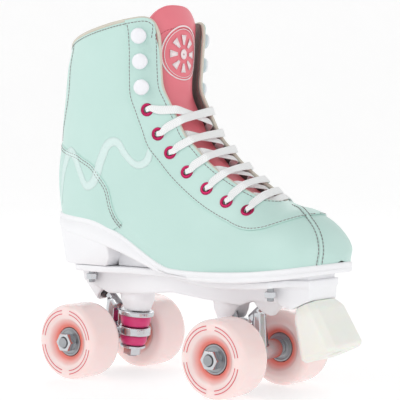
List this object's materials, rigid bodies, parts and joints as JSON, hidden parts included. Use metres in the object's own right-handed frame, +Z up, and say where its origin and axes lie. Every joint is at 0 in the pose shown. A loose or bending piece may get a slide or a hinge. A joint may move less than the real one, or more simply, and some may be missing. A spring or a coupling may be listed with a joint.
{
  "type": "quad roller skate",
  "caption": "High-cut laced quad roller skate: boot on a moulded heeled sole, plate with toe stop, two cushioned steering trucks and four urethane wheels.",
  "frame": {"origin": "middle of the skate's footprint box, on the ground that the wheels stand on", "axes": "+X towards the toe, +Y to the left of the skate, +Z up"},
  "size_m": [0.2716, 0.122, 0.2888],
  "materials": {
    "mint_leather": "smooth coated upper leather, semi-gloss, fine grain",
    "coral_leather": "smooth coated leather on a padded tongue",
    "lining_cloth": "close knitted lining, matte",
    "lace_cotton": "flat woven lace, matte",
    "insole_foam": "cloth-covered foam, matte",
    "fibre_board": "pressed fibre board, matte",
    "white_plastic": "moulded, satin",
    "chrome": "plated and polished",
    "steel": "turned and ground",
    "raspberry_urethane": "moulded urethane, satin",
    "wheel_urethane": "cast translucent urethane, glossy",
    "stop_rubber": "moulded rubber, matte"
  },
  "bodies": {
    "root": {"boot_lining": "lining_cloth", "boot_upper": "mint_leather", "front_kingpin": "steel", "front_kingpin_nut": "chrome", "front_left_plate_bolt": "steel", "front_left_plate_nut": "chrome", "front_lower_cushion": "raspberry_urethane", "front_lower_washer": "chrome", "front_pivot_cup": "raspberry_urethane", "front_right_plate_bolt": "steel", "front_right_plate_nut": "chrome", "front_upper_cushion": "raspberry_urethane", "front_upper_washer": "chrome", "insole": "insole_foam", "insole_board": "fibre_board", "lace": "lace_cotton", "left_eyestay": "mint_leather", "left_hook_1": "white_plastic", "left_hook_2": "white_plastic", "left_hook_3": "white_plastic", "plate": "white_plastic", "rear_kingpin": "steel", "rear_kingpin_nut": "chrome", "rear_left_plate_bolt": "steel", "rear_left_plate_nut": "chrome", "rear_lower_cushion": "raspberry_urethane", "rear_lower_washer": "chrome", "rear_pivot_cup": "raspberry_urethane", "rear_right_plate_bolt": "steel", "rear_right_plate_nut": "chrome", "rear_upper_cushion": "raspberry_urethane", "rear_upper_washer": "chrome", "right_eyestay": "mint_leather", "right_hook_1": "white_plastic", "right_hook_2": "white_plastic", "right_hook_3": "white_plastic", "sole_unit": "white_plastic", "toe_stop": "stop_rubber", "toe_stop_bolt": "chrome", "tongue": "coral_leather"},
    "front_truck": {"front_hanger": "chrome", "front_axle": "steel", "front_left_axle_nut": "chrome", "front_right_axle_nut": "chrome"},
    "rear_truck": {"rear_hanger": "chrome", "rear_axle": "steel", "rear_left_axle_nut": "chrome", "rear_right_axle_nut": "chrome"},
    "front_left_wheel": {"front_left_wheel": "wheel_urethane", "front_left_outer_bearing": "steel", "front_left_inner_bearing": "steel"},
    "front_right_wheel": {"front_right_wheel": "wheel_urethane", "front_right_outer_bearing": "steel", "front_right_inner_bearing": "steel"},
    "rear_left_wheel": {"rear_left_wheel": "wheel_urethane", "rear_left_outer_bearing": "steel", "rear_left_inner_bearing": "steel"},
    "rear_right_wheel": {"rear_right_wheel": "wheel_urethane", "rear_right_outer_bearing": "steel", "rear_right_inner_bearing": "steel"}
  },
  "joints": [
    {"name": "front_truck_steer", "type": "hinge", "parent": "root", "child": "front_truck", "pos_m": [0.03469, 0, 0.035], "axis": [0.6899, 0, 0.7239], "range_deg": [-8, 8], "stiffness_Nm_per_rad": 20, "deforming": ["front_upper_cushion", "front_lower_cushion"]},
    {"name": "rear_truck_steer", "type": "hinge", "parent": "root", "child": "rear_truck", "pos_m": [-0.06431, 0, 0.035], "axis": [-0.6899, 0, 0.7239], "range_deg": [-8, 8], "stiffness_Nm_per_rad": 20, "deforming": ["rear_upper_cushion", "rear_lower_cushion"]},
    {"name": "front_left_wheel_spin", "type": "hinge", "parent": "front_truck", "child": "front_left_wheel", "pos_m": [0.05569, 0.041, 0.029], "axis": [0, 1, 0], "continuous": true},
    {"name": "front_right_wheel_spin", "type": "hinge", "parent": "front_truck", "child": "front_right_wheel", "pos_m": [0.05569, -0.041, 0.029], "axis": [0, 1, 0], "continuous": true},
    {"name": "rear_left_wheel_spin", "type": "hinge", "parent": "rear_truck", "child": "rear_left_wheel", "pos_m": [-0.08531, 0.041, 0.029], "axis": [0, 1, 0], "continuous": true},
    {"name": "rear_right_wheel_spin", "type": "hinge", "parent": "rear_truck", "child": "rear_right_wheel", "pos_m": [-0.08531, -0.041, 0.029], "axis": [0, 1, 0], "continuous": true}
  ]
}
